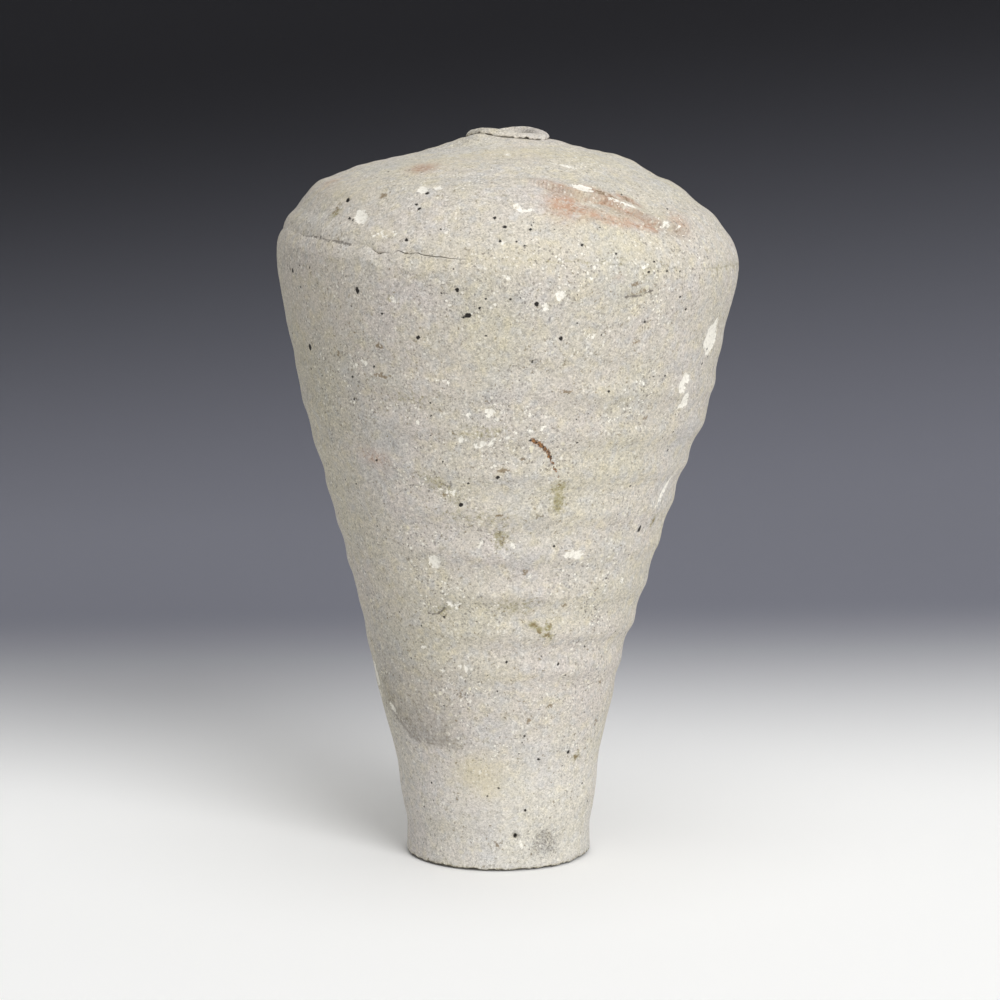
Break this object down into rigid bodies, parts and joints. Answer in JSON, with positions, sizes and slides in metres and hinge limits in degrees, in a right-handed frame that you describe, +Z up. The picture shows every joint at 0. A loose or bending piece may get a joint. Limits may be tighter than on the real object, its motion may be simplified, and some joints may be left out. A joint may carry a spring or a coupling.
{
  "type": "mercury storage jar",
  "caption": "Heavy unglazed stoneware jar for storing mercury: narrow foot, tapering thrown wall with spiral finger rings, low domed shoulder and a tiny rolled mouth.",
  "frame": {"origin": "middle of the foot's underside, where the jar stands", "axes": "+Z up through the mouth; the side with the open crack in the shoulder seam faces -Y, and the jar leans slightly towards +X"},
  "size_m": [0.1694, 0.1694, 0.27],
  "materials": {
    "stoneware": "unglazed matte stoneware, pale warm grey with dark and white grains"
  },
  "bodies": {
    "root": {"base_disc": "stoneware", "foot_wall": "stoneware", "lower_body": "stoneware", "upper_body": "stoneware", "shoulder_cap": "stoneware", "mouth_ring": "stoneware"}
  },
  "joints": []
}
